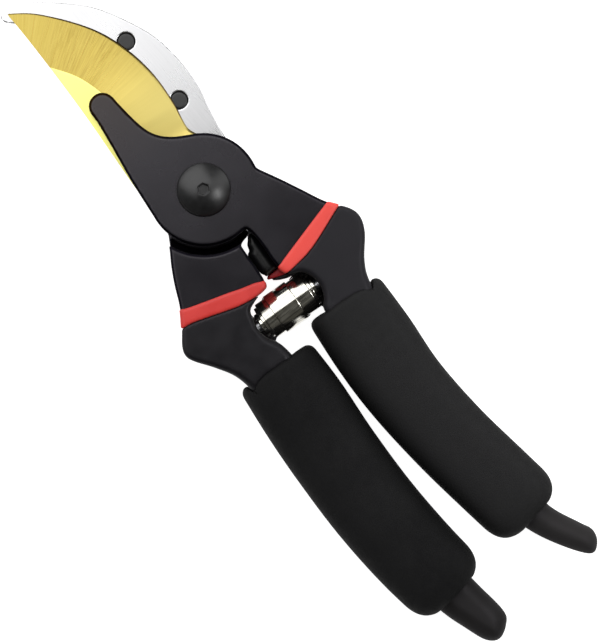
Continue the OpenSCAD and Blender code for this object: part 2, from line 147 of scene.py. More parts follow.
# Side tab of the blade-side handle below the stop bumper, half way down its depth
RIDGE = closed(
    [(6, -28.5)],
    spline([(-2.2, -28.5), (-2.3, -29.4), (-1.4, -30.5), (0, -31.5), (2.2, -32.6)]),
    [(6, -33)])
ridge_z = (mid_z - 4.4, mid_z + 0.6)
# Thin webs that close the back of the spring's pocket in each handle
WEBS = {
    "hook": closed([(-14, -34.6), (-12.1, -34.5), (-10.4, -35.6), (-9.8, -38), (-10, -42.6),
                    (-10.9, -43), (-14, -43.6)]),
    "blade": closed([(9, -32), (1.7, -32.9), (1.3, -34.2), (1.3, -43.9), (4.2, -44.1),
                     (9, -44.6)]),
}
WEB_T = 2.4


# ---------------------------------------------------------------- signed distances
def flat_distance(segments, x, y):
    """Signed distance from a closed flat outline, given as loose segments; negative inside."""
    nearest = np.full(x.shape, 1e9)
    inside = np.zeros(x.shape, bool)
    for x0, y0, x1, y1 in segments:
        dx, dy = x1 - x0, y1 - y0
        along = ((x - x0) * dx + (y - y0) * dy) / max(dx * dx + dy * dy, 1e-12)
        along = np.clip(along, 0, 1)
        nearest = np.minimum(nearest, np.hypot(x - x0 - along * dx, y - y0 - along * dy))
        if y0 != y1:
            inside ^= ((y0 > y) != (y1 > y)) & (x < x0 + (y - y0) * dx / dy)
    return np.where(inside, -nearest, nearest)


def above_line(points, x, y):
    """Signed distance above a border line that runs along x; positive above it."""
    points = np.array(points, float)
    slope = np.gradient(np.interp(x, points[:, 0], points[:, 1]), axis=0)
    step = np.gradient(x, axis=0)
    rise = y - np.interp(x, points[:, 0], points[:, 1])
    return rise / np.hypot(1, slope / step)


def soften(field, radius, step):
    """A flat field blurred a little, so that short straight facets turn into a curve."""
    reach = max(1, int(round(radius / step)))
    weights = np.hanning(2 * reach + 3)[1:-1]
    weights /= weights.sum()
    for axis in (0, 1):
        padded = np.pad(field, [(reach, reach) if a == axis else (0, 0) for a in (0, 1)], "edge")
        size = field.shape[axis]
        field = sum(w * np.take(padded, range(i, i + size), axis) for i, w in enumerate(weights))
    return field


def slab(flat, z, low, high, radius):
    """A flat field extruded from low to high, with edges rounded to a radius."""
    p = flat[:, :, None] + radius if flat.ndim == 2 else flat + radius
    q = np.abs(z - (low + high) / 2) - (high - low) / 2 + radius
    outside = np.hypot(np.maximum(p, 0), np.maximum(q, 0))
    return np.minimum(np.maximum(p, q), 0) + outside - radius


def join(a, b, k):
    """Smooth union of two fields with a fillet of about k."""
    h = np.clip(0.5 + 0.5 * (b - a) / k, 0, 1)
    return b * (1 - h) + a * h - k * h * (1 - h)


def cut(a, b, k):
    """Field a less field b, with the new edge rounded by about k."""
    return -join(-a, b, k)


def both(a, b, k):
    """Smooth overlap of two fields."""
    return -join(-a, -b, k)


# ---------------------------------------------------------------- meshes
def new_piece(name, verts, faces, body, material, nodes=()):
    """A smooth-shaded mesh from millimetres, riding on a body and standing for CAD nodes."""
    mesh = bpy.data.meshes.new(name)
    mesh.from_pydata((np.array(verts) * MM).tolist(), [], faces)
    mesh.validate()
    mesh.polygons.foreach_set("use_smooth", [True] * len(mesh.polygons))
    mesh.materials.append(material)
    piece = bpy.data.objects.new(name, mesh)
    bpy.context.scene.collection.objects.link(piece)
    if body:
        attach(piece, body)
    if nodes:
        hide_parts(*nodes)
    return piece


def surface_net(field, origin, step):
    """Vertices and quads of the zero surface of a field on a regular grid."""
    cells = tuple(n - 1 for n in field.shape)
    total, count = np.zeros(cells + (3,), np.float32), np.zeros(cells, np.float32)
    for axis in range(3):
        others = [a for a in range(3) if a != axis]
        for u in (0, 1):
            for v in (0, 1):
                start = [0, 0, 0]
                start[others[0]], start[others[1]] = u, v
                first = tuple(slice(s, s + n) for s, n in zip(start, cells))
                start[axis] = 1
                second = tuple(slice(s, s + n) for s, n in zip(start, cells))
                a, b = field[first], field[second]
                crossed = (a < 0) != (b < 0)
                share = np.where(crossed, a / np.where(crossed, a - b, 1), 0)
                total[..., axis] += share
                total[..., others[0]] += u * crossed
                total[..., others[1]] += v * crossed
                count += crossed
    used = count > 0
    ids = np.full(cells, -1)
    ids[used] = np.arange(used.sum())
    verts = (np.argwhere(used) + total[used] / count[used][:, None]) * step + np.array(origin)
    quads = []
    inside = field < 0
    for a, b, c in ((0, 1, 2), (1, 2, 0), (2, 0, 1)):
        turned = inside.transpose(a, b, c)
        cell = ids.transpose(a, b, c)
        starts = turned[:-1, 1:-1, 1:-1]
        i, j, k = np.nonzero(starts != turned[1:, 1:-1, 1:-1])
        ring = [cell[i, j, k], cell[i, j + 1, k], cell[i, j + 1, k + 1], cell[i, j, k + 1]]
        ring = np.stack(ring, 1)
        outward = starts[i, j, k]
        quads.append(np.where(outward[:, None], ring, ring[:, ::-1]))
    return verts, np.concatenate(quads).tolist()


def sculpt(name, field, low, high, step, body, material, nodes=()):
    """A piece from a field function of (x, y, z), evaluated between two corners."""
    low, high = np.array(low, float), np.array(high, float)
    x, y, z = [np.arange(a, b + step, step) for a, b in zip(low, high)]
    grid_x, grid_y = np.meshgrid(x, y, indexing="ij")
    values = field(grid_x, grid_y, z).astype(np.float32)
    verts, quads = surface_net(values, low, step)
    return new_piece(name, verts, quads, body, material, nodes)


# ---------------------------------------------------------------- materials
class Shader:
    """A Principled material with a few helpers for its procedural detail."""

    def __init__(self, name, **sockets):
        self.material = bpy.data.materials.new(name)
        self.material.use_nodes = True
        self.nodes, self.links = self.material.node_tree.nodes, self.material.node_tree.links
        self.bsdf = self.nodes["Principled BSDF"]
        self.place = self.nodes.new("ShaderNodeTexCoord").outputs["Object"]
        for socket, value in sockets.items():
            self.bsdf.inputs[socket.replace("_", " ")].default_value = value

    def put(self, value, socket):
        if isinstance(value, bpy.types.NodeSocket):
            self.links.new(value, socket)
        else:
            socket.default_value = value

    def stretch(self, source, scale, turn=0.0):
        node = self.nodes.new("ShaderNodeMapping")
        node.inputs["Scale"].default_value = scale
        node.inputs["Rotation"].default_value[2] = turn
        self.put(source, node.inputs["Vector"])
        return node.outputs["Vector"]

    def noise(self, size_mm, detail=3.0, rough=0.5, source=None, distortion=0.0):
        """Noise whose largest lumps are about size_mm across."""
        node = self.nodes.new("ShaderNodeTexNoise")
        node.inputs["Scale"].default_value = 1 / (size_mm * MM)
        node.inputs["Detail"].default_value = detail
        node.inputs["Roughness"].default_value = rough
        node.inputs["Distortion"].default_value = distortion
        self.put(source or self.place, node.inputs["Vector"])
        return node.outputs["Fac"]

    def cells(self, size_mm, feature="F1", source=None):
        node = self.nodes.new("ShaderNodeTexVoronoi")
        node.feature = feature
        node.inputs["Scale"].default_value = 1 / (size_mm * MM)
        self.put(source or self.place, node.inputs["Vector"])
        return node.outputs["Distance"]

    def span(self, value, low, high, to_low=0.0, to_high=1.0):
        node = self.nodes.new("ShaderNodeMapRange")
        for name, number in (("From Min", low), ("From Max", high),
                             ("To Min", to_low), ("To Max", to_high)):
            node.inputs[name].default_value = number
        self.put(value, node.inputs["Value"])
        return node.outputs["Result"]

    def math(self, operation, a, b=0.0, c=0.0):
        node = self.nodes.new("ShaderNodeMath")
        node.operation = operation
        self.put(a, node.inputs[0])
        self.put(b, node.inputs[1])
        self.put(c, node.inputs[2])
        return node.outputs[0]

    def mix(self, share, a, b):
        node = self.nodes.new("ShaderNodeMix")
        node.data_type = "RGBA"
        self.put(share, node.inputs[0])
        for colour, socket in ((a, node.inputs[6]), (b, node.inputs[7])):
            self.put(colour if isinstance(colour, bpy.types.NodeSocket) else (*colour, 1), socket)
        return node.outputs[2]

    def part(self, vector, axis):
        node = self.nodes.new("ShaderNodeSeparateXYZ")
        self.put(vector, node.inputs[0])
        return node.outputs[axis]

    def facing(self):
        """1 where the surface faces straight up or down, 0 on upright walls."""
        node = self.nodes.new("ShaderNodeNewGeometry")
        return self.math("ABSOLUTE", self.part(node.outputs["Normal"], "Z"))

    def rounding(self, most, start=0.985, end=0.8):
        """A share that grows from 0 to most as the surface turns away from the flat faces."""
        return self.span(self.facing(), start, end, 0, most)

    def rim(self):
        """A share that is 1 on slanted rims only, and 0 on flat faces and upright walls."""
        facing = self.facing()
        return self.math("MULTIPLY", self.span(facing, 0.999, 0.985), self.span(facing, 0.1, 0.3))

    def hook_side_gloss(self):
        """Less roughness on the hook-side handle than on the other."""
        return self.span(self.part(self.place, "X"), -6 * MM, -13 * MM, 0, -0.09)

    def bump(self, height, depth_mm, strength=1.0, normal=None):
        node = self.nodes.new("ShaderNodeBump")
        node.inputs["Distance"].default_value = depth_mm * MM
        node.inputs["Strength"].default_value = strength
        self.put(height, node.inputs["Height"])
        if normal:
            self.put(normal, node.inputs["Normal"])
        return node.outputs["Normal"]

    def set(self, **sockets):
        for socket, value in sockets.items():
            self.put(value, self.bsdf.inputs[socket.replace("_", " ")])
        return self.material


def coated_metal():
    """Satin charcoal coat over a casting: fine orange peel, patches and a painted dark outline on
    the rims.
    """
    s = Shader("coated_casting", IOR=1.5, Specular_IOR_Level=0.6,
               Specular_Tint=(0.97, 0.93, 1.0, 1))
    patches = s.noise(14, 3, 0.6)
    peel = s.noise(0.6, 2, 0.5)
    colour = s.mix(s.span(patches, 0.35, 0.7), (0.0042, 0.0038, 0.0056), (0.0062, 0.0057, 0.0080))
    # a faint brown cast on the finger, and slightly more gloss on both necks and to the left
    height = s.part(s.place, "Y")
    colour = s.mix(s.span(height, 15 * MM, 38 * MM), colour, (0.0110, 0.0055, 0.0010))
    rough = s.math("ADD", s.span(patches, 0.3, 0.7, 0.26, 0.30), s.rounding(0.6))
    rough = s.math("ADD", rough, s.span(height, -9 * MM, -17 * MM, 0, -0.035))
    rough = s.math("ADD", rough, s.span(s.part(s.place, "X"), -6 * MM, -13 * MM, 0, -0.03))
    # painted shade: the slanted rims get a metal finish that reflects far less than the coat, which
    # draws a thin dark outline
    return s.set(Base_Color=colour, Roughness=rough, Metallic=s.rim(),
                 Normal=s.bump(peel, 0.012, 0.35))


def gold_blade():
    """Gold nitride coat over a ground blade. UV u runs along the edge and v away from it."""
    s = Shader("gold_coated_steel", Metallic=1.0)
    uv = s.nodes.new("ShaderNodeUVMap")
    uv.uv_map = "grind"
    along, away = s.part(uv.outputs["UV"], "X"), s.part(uv.outputs["UV"], "Y")
    flat = s.span(away, (GRIND_WIDTH - 0.1) * MM, (GRIND_WIDTH + 0.1) * MM)
    # painted shade: a dark line along the narrow honed edge, which starts behind the tip and ends
    # before the root
    honed = s.math("MULTIPLY", s.span(along, 3 * MM, 14 * MM, 0.25, 1),
                   s.span(along, 63 * MM, 57 * MM))
    honed = s.math("MULTIPLY", s.span(away, 0.45 * MM, 0.25 * MM), honed)
    streaks = s.noise(0.7, 4, 0.6, s.stretch(uv.outputs["UV"], (1, 0.02, 1)))
    fine = s.noise(0.22, 3, 0.6, s.stretch(uv.outputs["UV"], (1, 0.035, 1)))
    broad = s.noise(4.0, 2, 0.5, s.stretch(uv.outputs["UV"], (1, 0.2, 1)))
    ground = s.mix(s.span(streaks, 0.3, 0.7), (0.30, 0.225, 0.048), (0.415, 0.32, 0.076))
    ground = s.mix(s.span(fine, 0.3, 0.7, 0, 0.22), ground, (0.54, 0.43, 0.13))
    ground = s.mix(s.span(broad, 0.35, 0.65, 0, 0.4), ground, (0.38, 0.295, 0.078))
    # deep dark scratches half way along, and a paler and finer grind towards the root
    heavy = s.math("MULTIPLY", s.span(along, 8 * MM, 18 * MM), s.span(along, 42 * MM, 30 * MM))
    scratch = s.noise(0.5, 3, 0.7, s.stretch(uv.outputs["UV"], (1, 0.06, 1)))
    heavy = s.math("MULTIPLY", heavy, s.span(scratch, 0.42, 0.68, 0, 0.6))
    ground = s.mix(heavy, ground, (0.24, 0.165, 0.035))
    pale = s.span(along, 32 * MM, 52 * MM, 0, 0.85)
    ground = s.mix(pale, ground, (0.55, 0.45, 0.14))
    # painted light: a paler gold near the edge towards the root, where the lamp's light falls off
    root = s.math("MULTIPLY", s.span(along, 40 * MM, 56 * MM, 0, 0.6),
                  s.span(away, 11 * MM, 1 * MM))
    ground = s.mix(root, ground, (0.74, 0.62, 0.205))
    # painted shade: darker ochre at the end of the root, next to the front lap
    ground = s.mix(s.span(along, 56 * MM, 66 * MM, 0, 0.6), ground, (0.46, 0.35, 0.09))
    colour = s.mix(flat, ground, (0.88, 0.84, 0.25))
    # painted shade along the honed edge
    colour = s.mix(honed, colour, (0.16, 0.10, 0.035))
    # the grinding marks are faint on the flat and towards the root
    marks = s.math("MULTIPLY", s.span(flat, 0, 1, 1, 0.12),
                   s.span(along, 26 * MM, 46 * MM, 1, 0.1))
    rough = s.math("MULTIPLY_ADD", s.span(streaks, 0.3, 0.7, -0.05, 0.05), marks, 0.29)
    normal = s.bump(s.math("MULTIPLY", fine, marks), 0.008, 0.5,
                    s.bump(s.math("MULTIPLY", streaks, marks), 0.016, 0.5))
    return s.set(Base_Color=colour, Roughness=rough, Normal=normal)


def satin_steel(name="blade_steel", base=(0.635, 0.635, 0.645), turn=0.35):
    """Ground steel with fine straight brushing."""
    s = Shader(name, Metallic=1.0)
    lines = s.noise(0.3, 4, 0.6, s.stretch(s.place, (1, 0.03, 1), turn))
    smudge = s.noise(12, 3, 0.5)
    dark = tuple(0.93 * c for c in base)
    colour = s.mix(s.span(lines, 0.3, 0.7), dark, base)
    rough = s.math("ADD", s.span(smudge, 0.3, 0.7, 0.26, 0.33),
                   s.span(lines, 0.3, 0.7, -0.03, 0.03))
    return s.set(Base_Color=colour, Roughness=rough, Normal=s.bump(lines, 0.006, 0.4))


def hard_black(name="black_oxide_steel", base=(0.006, 0.006, 0.0065), rough=0.36, level=0.42):
    """Black oxide or dark plated steel with faint mottling."""
    s = Shader(name, Metallic=0.0, IOR=1.6, Specular_IOR_Level=level)
    mottle = s.noise(1.6, 4, 0.6)
    light = tuple(1.5 * c for c in base)
    return s.set(Base_Color=s.mix(s.span(mottle, 0.35, 0.7), base, light),
                 Roughness=s.span(mottle, 0.3, 0.7, rough - 0.04, rough + 0.05),
                 Normal=s.bump(s.noise(0.25, 2, 0.5), 0.006, 0.4))


def plated(name, base, rough, lines=0.1):
    """Zinc or chrome plate: bright, with a faint wave in its gloss and drawn lines along x."""
    s = Shader(name, Metallic=1.0)
    wave = s.noise(2.5, 3, 0.5)
    scuff = s.noise(0.3, 3, 0.6, s.stretch(s.place, (0.1, 1, 1)))
    drawn = s.noise(0.5, 3, 0.6, s.stretch(s.place, (0.04, 1, 1), SPRING_LEAN))
    dull = tuple((1 - lines) * c for c in base)
    return s.set(Base_Color=s.mix(s.span(drawn, 0.35, 0.6), dull, base),
                 Roughness=s.math("ADD", s.span(wave, 0.3, 0.7, rough, rough + 0.06),
                                  s.span(scuff, 0.4, 0.7, 0, 0.04)),
                 Normal=s.bump(scuff, 0.004, 0.4))


def vinyl(name, base, light, painted_light_colour, painted_shade_colour, rough=0.42, level=0.27):
    """Dipped vinyl: soft gloss with a slow ripple and fine pores.

    The colour is painted lighter towards the blade-side handle as painted light, and darker half
    way down its sides as painted shade.
    """
    s = Shader(name, Specular_IOR_Level=level, Specular_Tint=(0.96, 0.93, 1.0, 1))
    ripple = s.noise(5, 2, 0.4)
    pores = s.noise(0.35, 2, 0.5)
    colour = s.mix(s.span(ripple, 0.3, 0.7), base, light)
    # painted light: lighter towards the blade-side handle, which the side lamp lights more
    painted_light_side = s.span(s.part(s.place, "X"), -2 * MM, 5 * MM)
    colour = s.mix(painted_light_side, colour, painted_light_colour)
    # painted shade: darker half way down the sides, between the front and back faces
    level_z = s.math("ABSOLUTE", s.math("SUBTRACT", s.part(s.place, "Z"), mid_z * MM))
    colour = s.mix(s.span(level_z, 6.5 * MM, 2 * MM), colour, painted_shade_colour)
    # the tails are worn dull and pale; their extra paleness on the blade-side handle is painted
    # light
    worn = s.span(s.part(s.place, "Y"), -119 * MM, -127 * MM)
    colour = s.mix(worn, colour, s.mix(painted_light_side, (0.0100, 0.0092, 0.0090), (0.0205, 0.0192, 0.0190)))
    dull = s.math("MULTIPLY_ADD", worn, 0.2, s.rounding(0.2))
    dull = s.math("ADD", dull, s.hook_side_gloss())
    return s.set(Base_Color=colour,
                 Roughness=s.math("ADD", s.span(ripple, 0.3, 0.7, rough, rough + 0.1), dull),
                 Normal=s.bump(pores, 0.012, 0.45, s.bump(ripple, 0.06, 0.3)))


def foam():
    """Closed-cell foam rubber: dull, with open pores where the skin was cut."""
    s = Shader("black_foam", Specular_IOR_Level=0.15)
    cell = s.cells(0.5)
    lumps = s.noise(2.2, 4, 0.6)
    drift = s.noise(18, 2, 0.5)
    colour = s.mix(s.span(drift, 0.3, 0.7), (0.0068, 0.0068, 0.0072), (0.0104, 0.0104, 0.0108))
    # painted light: lighter towards the blade-side grip, which the side lamp lights more
    painted_light_side = s.span(s.part(s.place, "X"), -8 * MM, 2 * MM)
    colour = s.mix(painted_light_side, colour, (0.0165, 0.0165, 0.0170))
    # painted shade: darker where the tube turns down its sides
    colour = s.mix(s.rounding(0.8, 0.85, 0.3), colour, (0.003, 0.003, 0.003))
    normal = s.bump(cell, 0.08, 0.5, s.bump(lumps, 0.10, 0.45))
    return s.set(Base_Color=colour, Roughness=s.span(lumps, 0.3, 0.7, 0.82, 0.95), Normal=normal)


def rubber():
    """Smooth black rubber with a fine grain."""
    s = Shader("black_rubber", Specular_IOR_Level=0.3)
    grain = s.noise(0.6, 3, 0.5)
    return s.set(Base_Color=s.mix(grain, (0.0018, 0.0018, 0.0022), (0.0030, 0.0030, 0.0034)),
                 Roughness=s.span(grain, 0.3, 0.7, 0.34, 0.42), Normal=s.bump(grain, 0.006, 0.3))


MATERIALS = {
    "coated_casting": coated_metal(),
    "gold_coated_steel": gold_blade(),
    "blade_steel": satin_steel(),
    "rivet_steel": hard_black("rivet_steel", (0.0075, 0.0075, 0.0075), 0.44, 0.44),
    "black_oxide_steel": hard_black(),
    "plain_steel": plated("plain_steel", (0.6, 0.6, 0.62), 0.3),
    "zinc_plated_steel": plated("zinc_plated_steel", (0.66, 0.67, 0.7), 0.28),
    "spring_chrome": plated("spring_chrome", (0.92, 0.90, 0.81), 0.12, 0.6),
    "black_rubber": rubber(),
    # the last two colours of each vinyl are painted light for the blade side and painted shade for
    # half way down the sides
    "red_vinyl": vinyl("red_vinyl", (0.57, 0.037, 0.031), (0.64, 0.048, 0.040),
                       (0.79, 0.072, 0.056), (0.28, 0.011, 0.013), 0.4, 0.35),
    "black_vinyl": vinyl("black_vinyl", (0.0042, 0.0041, 0.0050), (0.0062, 0.0060, 0.0070),
                         (0.0088, 0.0085, 0.0104), (0.0035, 0.0035, 0.0040)),
    "black_foam": foam(),
}


def shape(name, field, low, high, step, body, slot, nodes):
    """A sculpted piece whose material has the same name as its slot."""
    return sculpt(name, field, low, high, step, body, MATERIALS[slot], nodes)


# ---------------------------------------------------------------- castings, sleeves, bands
# Borders of the red bands, as in the CAD source
HOOK_BAND_TOP = spline([(-32, -15.6), (-25.3, -20.6), (-20, -22.8), (-13, -25.3), (-9.4, -26.7),
                        (-5.8, -27.9), (-3.7, -28.9), (2, -31)])
HOOK_BAND_LOW = spline([(-34, -21.4), (-28.6, -24.6), (-25, -25.4), (-15, -29.2), (-12.2, -30.1),
                        (-8.7, -30.8), (-5.5, -31.1), (2, -31.8)])
BLADE_BAND_TOP = spline([(-6, -28.9), (1.8, -28.6), (5, -27.9), (15, -25.6), (23.2, -23.8),
                         (32, -22)])
BLADE_BAND_LOW = spline([(-6, -28.9), (-2, -29.7), (2.3, -31.3), (5, -31.4), (10, -31),
                         (15, -29.8), (24.8, -26.6), (34, -24)])


def flats(segments, x, y, step):
    """Flat distance of a closed outline, with its facets softened."""
    return soften(flat_distance(segments, x, y), 0.6, step)


def handle_field(side, x, y, z, step, grow):
    """A coated handle of one side, grown outwards by grow."""
    flat = flats(HANDLES[side], x, y, step) - grow
    # the handle is deep at the neck, thinner inside the grip and thin and round at the tail
    depth = np.interp(y, [-128, -118, -60, -48], [4.8, 6.5, 7.4, flare_half])[:, :, None] + grow
    radius = np.interp(y, [-128, -118, -60, -45, -30], [4.4, 3.6, 2.6, 1.7, 1.0])[:, :, None]
    p, q = flat[:, :, None] + radius, np.abs(z - mid_z) - depth + radius
    body = np.minimum(np.maximum(p, q), 0) + np.hypot(np.maximum(p, 0), np.maximum(q, 0)) - radius
    if grow == 0:
        web = slab(flats(WEBS[side], x, y, step), z, mid_z - flare_half, mid_z - flare_half + WEB_T,
                   0.4)
        body = join(body, web, 0.8)
    if side == "hook":
        return body
    ridge = slab(flats(RIDGE, x, y, step) - grow, z, ridge_z[0] - 1 - grow, ridge_z[1] + 1 + grow,
                 1.2)
    return join(body, ridge, 0.5)


# Grid step of the castings, and the height below which a lap's section is left out
CASTING_STEP, LAP_LOW = 0.45, -21


def bare(side, x, y, z, low, high, edge):
    """The uncoated metal of one side between two depths, above the middle of its band."""
    border = HOOK_BAND_LOW if side == "hook" else BLADE_BAND_LOW
    neck = slab(flats(HANDLES[side], x, y, CASTING_STEP), z, low, high, edge)
    return both(neck, -above_line(border, x, y)[:, :, None] + 0 * z, 0.3)


def casting_lap(node, level, x, y):
    """Flat field of a casting's round lap and finger, from its CAD section at a height."""
    lap = soften(flat_distance(section(node, level), x, y), 0.5, CASTING_STEP)
    return np.where(y < LAP_LOW, 9, lap)


def blade_casting(x, y, z):
    """Right handle's casting: lap and finger in front, full neck, tab at its side."""
    lap = casting_lap("blade_handle_casting", front_z - 1.2, x, y)
    lap = slab(lap, z, blade_top, front_z, 0.15)
    neck = bare("blade", x, y, z, back_z, front_z, 0.15)
    ridge = slab(flats(RIDGE, x, y, CASTING_STEP), z, *ridge_z, 1.6)
    ridge = both(ridge, -above_line(BLADE_BAND_LOW, x, y)[:, :, None] + 0 * z, 0.3)
    hollow = slab(np.hypot(x, y) - BLADE_STEP_R, z, back_z - 20, blade_top, 0.1)
    return np.minimum(cut(join(neck, ridge, 0.8), hollow, 0.4), lap)


def hook_casting(x, y, z):
    """Left handle's casting: lap and arm at the back, full neck."""
    lap = casting_lap("hook_handle_casting", back_z + 1.2, x, y)
    lap = slab(lap, z, back_z, counter_z, 0.8)
    neck = bare("hook", x, y, z, back_z, front_z, 0.15)
    # the round step has a wide fillet at its foot
    hollow = slab(np.hypot(x, y) - HOOK_STEP_R, z, counter_z, front_z + 20, 2.1)
    return np.minimum(cut(neck, hollow, 0.3), lap)


# The castings end inside the vinyl, at this height
NECK_LOW = -36
for name, node, field, body in (
        ("blade_casting", "blade_handle_casting", blade_casting, BLADE),
        ("hook_casting", "hook_handle_casting", hook_casting, HOOK)):
    low, high = box(node)
    casting_skin = shape(name, field, (low[0] - 2, NECK_LOW, low[2] - 2), high + 2, CASTING_STEP,
                         body, "coated_casting", [node])
    casting_skin.data.set_sharp_from_angle(angle=math.radians(30))


def sleeve_of(side, border):
    """Field of the black vinyl below a border line."""
    def field(x, y, z):
        body = handle_field(side, x, y, z, 0.55, 0.0)
        return both(body, above_line(border, x, y)[:, :, None] + 0 * z, 0.4)
    return field


def band_of(side, top, bottom):
    """Field of the red band between two border lines, slightly proud of the vinyl."""
    def field(x, y, z):
        body = handle_field(side, x, y, z, 0.4, 0.25)
        strip = np.maximum(above_line(top, x, y), -above_line(bottom, x, y))[:, :, None] + 0 * z
        return both(body, strip, 0.4)
    return field


for side, body, top, bottom in (("hook", HOOK, HOOK_BAND_TOP, HOOK_BAND_LOW),
                                ("blade", BLADE, BLADE_BAND_TOP, BLADE_BAND_LOW)):
    node = side + "_side_vinyl_sleeve"
    low, high = box(node)
    shape(side + "_sleeve", sleeve_of(side, bottom), low - 2, high + 2, 0.55, body,
          "black_vinyl", [node])
    node = side + "_side_red_band"
    low, high = box(node)
    shape(side + "_band", band_of(side, top, bottom), low - 1.5, high + 1.5, 0.4, body,
          "red_vinyl", [node])

# ---------------------------------------------------------------- foam grips
# Centre lines as in the CAD source: x, y, half width
GRIP_LINES = {
    "hook": [(-16.2, -48.4, 11.6), (-17.5, -62, 12.3), (-19.2, -78, 12.2), (-20.2, -95, 12.1),
             (-19.9, -112, 11.9), (-18.5, -127.2, 11.5)],
    "blade": [(9.6, -46.4, 11.4), (8.2, -61, 11.9), (7.0, -76, 11.5), (7.5, -93, 11.3),
              (9.2, -110, 11.3), (10.9, -124.8, 11.2)],
}


def foam_grip(side):
    """A foam sleeve around one handle, with rounded ends, and hollow for the vinyl."""
    line = spline(GRIP_LINES[side])[::-1]
    ends = []
    for here, beyond in ((line[-1], line[-6]), (line[0], line[5])):
        outward = (here - beyond)[:2]
        ends.append((here[:2], outward / np.linalg.norm(outward)))

    def field(x, y, z):
        centre, half = (np.interp(y, line[:, 1], line[:, k]) for k in (0, 2))
        lean = np.gradient(centre, axis=1) / np.gradient(y, axis=1)
        across = ((x - centre) / np.hypot(1, lean))[:, :, None]
        depth = foam_top / 2
        ratio = (np.abs(across / half[:, :, None]) ** 2.5 + np.abs((z - depth) / depth) ** 2.5)
        tube = (ratio ** (1 / 2.5) - 1) * depth
        for (point, outward), k in zip(ends, (2.6, 8.0)):
            plane = (x - point[0]) * outward[0] + (y - point[1]) * outward[1]
            tube = both(tube, plane[:, :, None] + 0 * z, k)
        return cut(tube, handle_field(side, x, y, z, 0.6, 0.05), 0.9)

    node = side + "_side_foam_grip"
    low, high = box(node)
    piece = shape(side + "_grip", field, low - 2, high + 2, 0.6,
                  HOOK if side == "hook" else BLADE, "black_foam", [node])


foam_grip("hook")
foam_grip("blade")

# ---------------------------------------------------------------- cutting blade
EDGE = spline([(-9.7, 70.6), (-4.2, 66), (2, 57.9), (6.4, 50), (9, 41), (9.8, 32), (9, 23.5),
               (8.1, 19.4), (7.5, 16.4), (7.8, 14.3), (8.9, 12)], 24)
BACK = spline([(-9.9, 69.9), (-10, 62), (-10.5, 50), (-11.5, 35), (-13, 20), (-13.9, 9),
               (-13.4, 0)], 24)
EDGE_T = 0.35


def resample(curve, count):
    """Points spread evenly by length along a curve."""
    length = np.concatenate([[0], np.cumsum(np.linalg.norm(np.diff(curve, axis=0), axis=1))])
    at = np.linspace(0, 1, count) * length[-1]
    return np.stack([np.interp(at, length, curve[:, k]) for k in (0, 1)], 1)


def edge_place(points, curve):
    """Length along a curve and distance from it, at the nearest place to each point."""
    start, run = curve[:-1], np.diff(curve, axis=0)
    length = np.linalg.norm(run, axis=1)
    offset = points[:, None, :] - start
    along = np.clip((offset * run).sum(2) / length ** 2, 0, 1)
    gap = np.linalg.norm(offset - along[:, :, None] * run, axis=2)
    best = gap.argmin(1)
    pick = np.arange(len(points)), best
    return (np.cumsum(length) - length)[best] + along[pick] * length[best], gap[pick]


def cutting_blade():
    """The gold blade as rows across it, from the honed edge to the back."""
    rows, columns = 170, 56
    edge, back = resample(EDGE, rows), resample(BACK, rows)
    share = (np.arange(columns + 1) / columns)[None, :, None] ** 1.15
    flat = (edge[:, None, :] * (1 - share) + back[:, None, :] * share).reshape(-1, 2)
    along, away = edge_place(flat, EDGE)
    top = blade_top - blade_z
    part = np.clip(away / GRIND_WIDTH, 0, 1)
    # hollow of the long ground face, then a narrow steep bevel at the very edge
    rise = EDGE_T + (top - EDGE_T) * (0.75 * part + 0.25 * (1 - (1 - part) ** 1.8))
    rise = np.minimum(rise, 0.08 + 1.1 * away)
    verts = [(x, y, blade_z + h) for (x, y), h in zip(flat, rise)]
    grind = list(zip(along, away)) * 2
    count = len(verts)
    verts += [(x, y, blade_z) for x, y in flat]
    width = columns + 1
    faces = []
    for i in range(rows - 1):
        for j in range(columns):
            a = i * width + j
            quad = [a, a + width, a + width + 1, a + 1]
            faces.append(quad)
            faces.append([count + v for v in quad[::-1]])
    border = [i * width for i in range(rows)]
    border += [(rows - 1) * width + j for j in range(1, width)]
    border += [i * width + columns for i in range(rows - 2, -1, -1)]
    border += [j for j in range(columns - 1, 0, -1)]
    for a, b in zip(border, border[1:] + border[:1]):
        faces.append([b, a, count + a, count + b])
    piece = new_piece("cutting_blade_skin", verts, faces, BLADE,
                      MATERIALS["gold_coated_steel"], ["cutting_blade"])
    piece.data.set_sharp_from_angle(angle=math.radians(60))
    layer = piece.data.uv_layers.new(name="grind")
    for loop in piece.data.loops:
        u, v = grind[loop.vertex_index]
        layer.data[loop.index].uv = (u * MM, v * MM)
    return piece


cutting_blade()


def blade_root(x, y, z):
    """Round root of the cutting blade, under the front lap."""
    disc = slab(np.hypot(x, y) - 13.4, z, blade_z, blade_top - 0.02, 0.3)
    return cut(disc, slab(np.hypot(x, y) - 4.1, z, blade_z - 9, blade_top + 9, 0.1), 0.1)


shape("blade_root", blade_root, (-15, -15, blade_z - 1), (15, 15, blade_top + 1), 0.4,
      BLADE, "gold_coated_steel", [])


# ---------------------------------------------------------------- counter blade and rivets
rivet_places = [np.array((9.8, 44.3)), np.array((10.5, 23.0))]
RIVET_R = 2.28
COUNTER_STEP = 0.25


